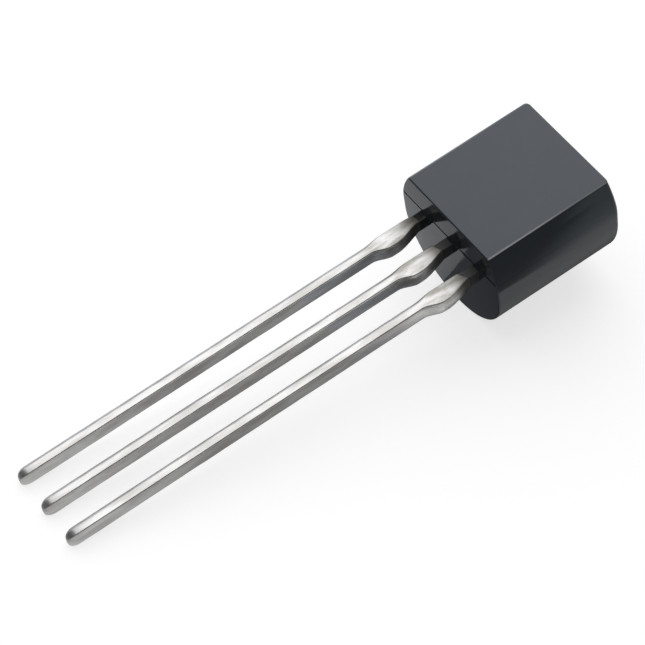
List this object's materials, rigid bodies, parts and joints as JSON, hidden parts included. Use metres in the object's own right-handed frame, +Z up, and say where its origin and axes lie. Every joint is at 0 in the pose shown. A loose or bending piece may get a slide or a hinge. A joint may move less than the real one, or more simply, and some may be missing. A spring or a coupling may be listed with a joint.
{
  "type": "to-92 transistor",
  "caption": "Small-signal transistor in a black moulded package with a flat face and a rounded back, on straight tinned leads for through-hole boards.",
  "frame": {"origin": "middle of the part's outline on the surface it lies on", "axes": "+Z up, +Y from the lead tips towards the body, +X across the leads from the emitter to the base; the part lies flat face up on its rounded back and its lead tips"},
  "size_m": [0.0046, 0.0188, 0.0047],
  "materials": {
    "epoxy": "glossy black moulded epoxy, satin on the flat face",
    "tinned_lead": "hot-dipped tin, satin and faintly streaked",
    "silicon": "polished silicon, sealed inside",
    "die_solder": "solder layer, sealed inside",
    "bond_wire": "drawn gold wire, sealed inside"
  },
  "bodies": {
    "root": {"moulded_body": "epoxy", "emitter_lead": "tinned_lead", "collector_lead": "tinned_lead", "base_lead": "tinned_lead", "silicon_die": "silicon", "die_attach": "die_solder", "base_bond_wire": "bond_wire", "emitter_bond_wire": "bond_wire"}
  },
  "joints": []
}
